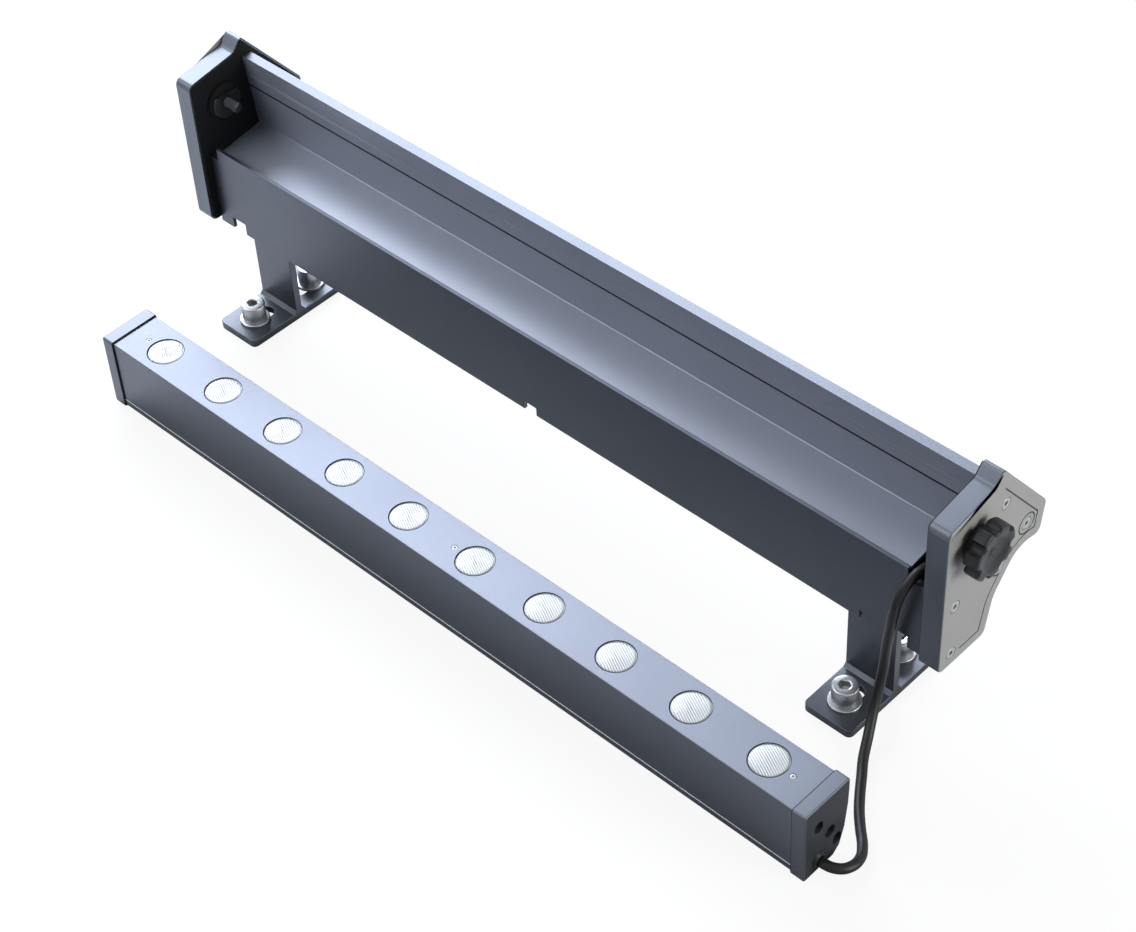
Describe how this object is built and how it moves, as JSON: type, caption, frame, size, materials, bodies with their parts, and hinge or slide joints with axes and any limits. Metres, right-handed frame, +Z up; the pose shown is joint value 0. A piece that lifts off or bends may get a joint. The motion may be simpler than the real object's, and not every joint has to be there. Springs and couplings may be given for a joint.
{
  "type": "outdoor wall washer light",
  "caption": "Outdoor wall washer light: folded housing on two slotted feet with clamps in its end plates, and its lens bar lying in front, tied by a supply cable",
  "frame": {"origin": "on the ground, halfway between the end plates and halfway between the front of the lens bar and the back of the housing", "axes": "X along the light, Y from the lens bar back to the housing, Z up"},
  "size_m": [0.526, 0.1688, 0.1488],
  "materials": {
    "housing_coat": "satin",
    "plate_coat": "satin",
    "bar_coat": "satin",
    "rubber": "matte",
    "bright_steel": "polished",
    "dark_steel": "satin",
    "knob_plastic": "matte",
    "lens_glass": "ribbed",
    "driver_case": "matte",
    "board_white": "matte",
    "black_plastic": "matte",
    "cable_rubber": "matte"
  },
  "bodies": {
    "housing": {"trough": "housing_coat", "rear_shell": "housing_coat", "front_cover": "housing_coat", "end_plate_left": "plate_coat", "end_plate_right": "plate_coat", "foot_left": "plate_coat", "foot_right": "plate_coat", "gasket_left": "rubber", "gasket_right": "rubber", "friction_ring_left": "rubber", "friction_ring_right": "rubber", "plate_screws_left": "bright_steel", "plate_screws_right": "bright_steel", "foot_fixings_left": "bright_steel", "foot_fixings_right": "bright_steel", "anchor_screw_front_left": "bright_steel", "anchor_screw_front_right": "bright_steel", "anchor_screw_rear_left": "bright_steel", "anchor_screw_rear_right": "bright_steel", "anchor_washer_front_left": "bright_steel", "anchor_washer_front_right": "bright_steel", "anchor_washer_rear_left": "bright_steel", "anchor_washer_rear_right": "bright_steel", "clamp_washer_left": "dark_steel", "clamp_washer_right": "dark_steel", "driver": "driver_case", "terminal_block": "black_plastic", "cable_relief": "black_plastic", "power_cord": "cable_rubber"},
    "bolt_left": {"clamp_bolt": "dark_steel"},
    "knob_right": {"knob_grip_right": "knob_plastic", "knob_stud_right": "dark_steel"},
    "light_bar": {"bar_gasket_left": "rubber", "bar_gasket_right": "rubber", "bar_cap_screws_left": "bright_steel", "bar_cap_screws_right": "bright_steel", "bar_top_screws": "bright_steel", "bar_profile": "bar_coat", "bar_base": "bar_coat", "bar_cap_left": "bar_coat", "bar_cap_right": "bar_coat", "lens_01": "lens_glass", "lens_02": "lens_glass", "lens_03": "lens_glass", "lens_04": "lens_glass", "lens_05": "lens_glass", "lens_06": "lens_glass", "lens_07": "lens_glass", "lens_08": "lens_glass", "lens_09": "lens_glass", "lens_10": "lens_glass", "led_board": "board_white", "bar_gland": "black_plastic"}
  },
  "joints": [
    {"name": "bolt_left_turn", "type": "hinge", "parent": "housing", "child": "bolt_left", "pos_m": [-0.256, 0.0307, 0.121], "axis": [-1, 0, 0], "continuous": true},
    {"name": "knob_right_turn", "type": "hinge", "parent": "housing", "child": "knob_right", "pos_m": [0.256, 0.0307, 0.121], "axis": [1, 0, 0], "continuous": true},
    {"name": "bar_pull", "type": "slide", "parent": "housing", "child": "light_bar", "axis": [0, -1, 0], "range_m": [0, 0.04]}
  ]
}
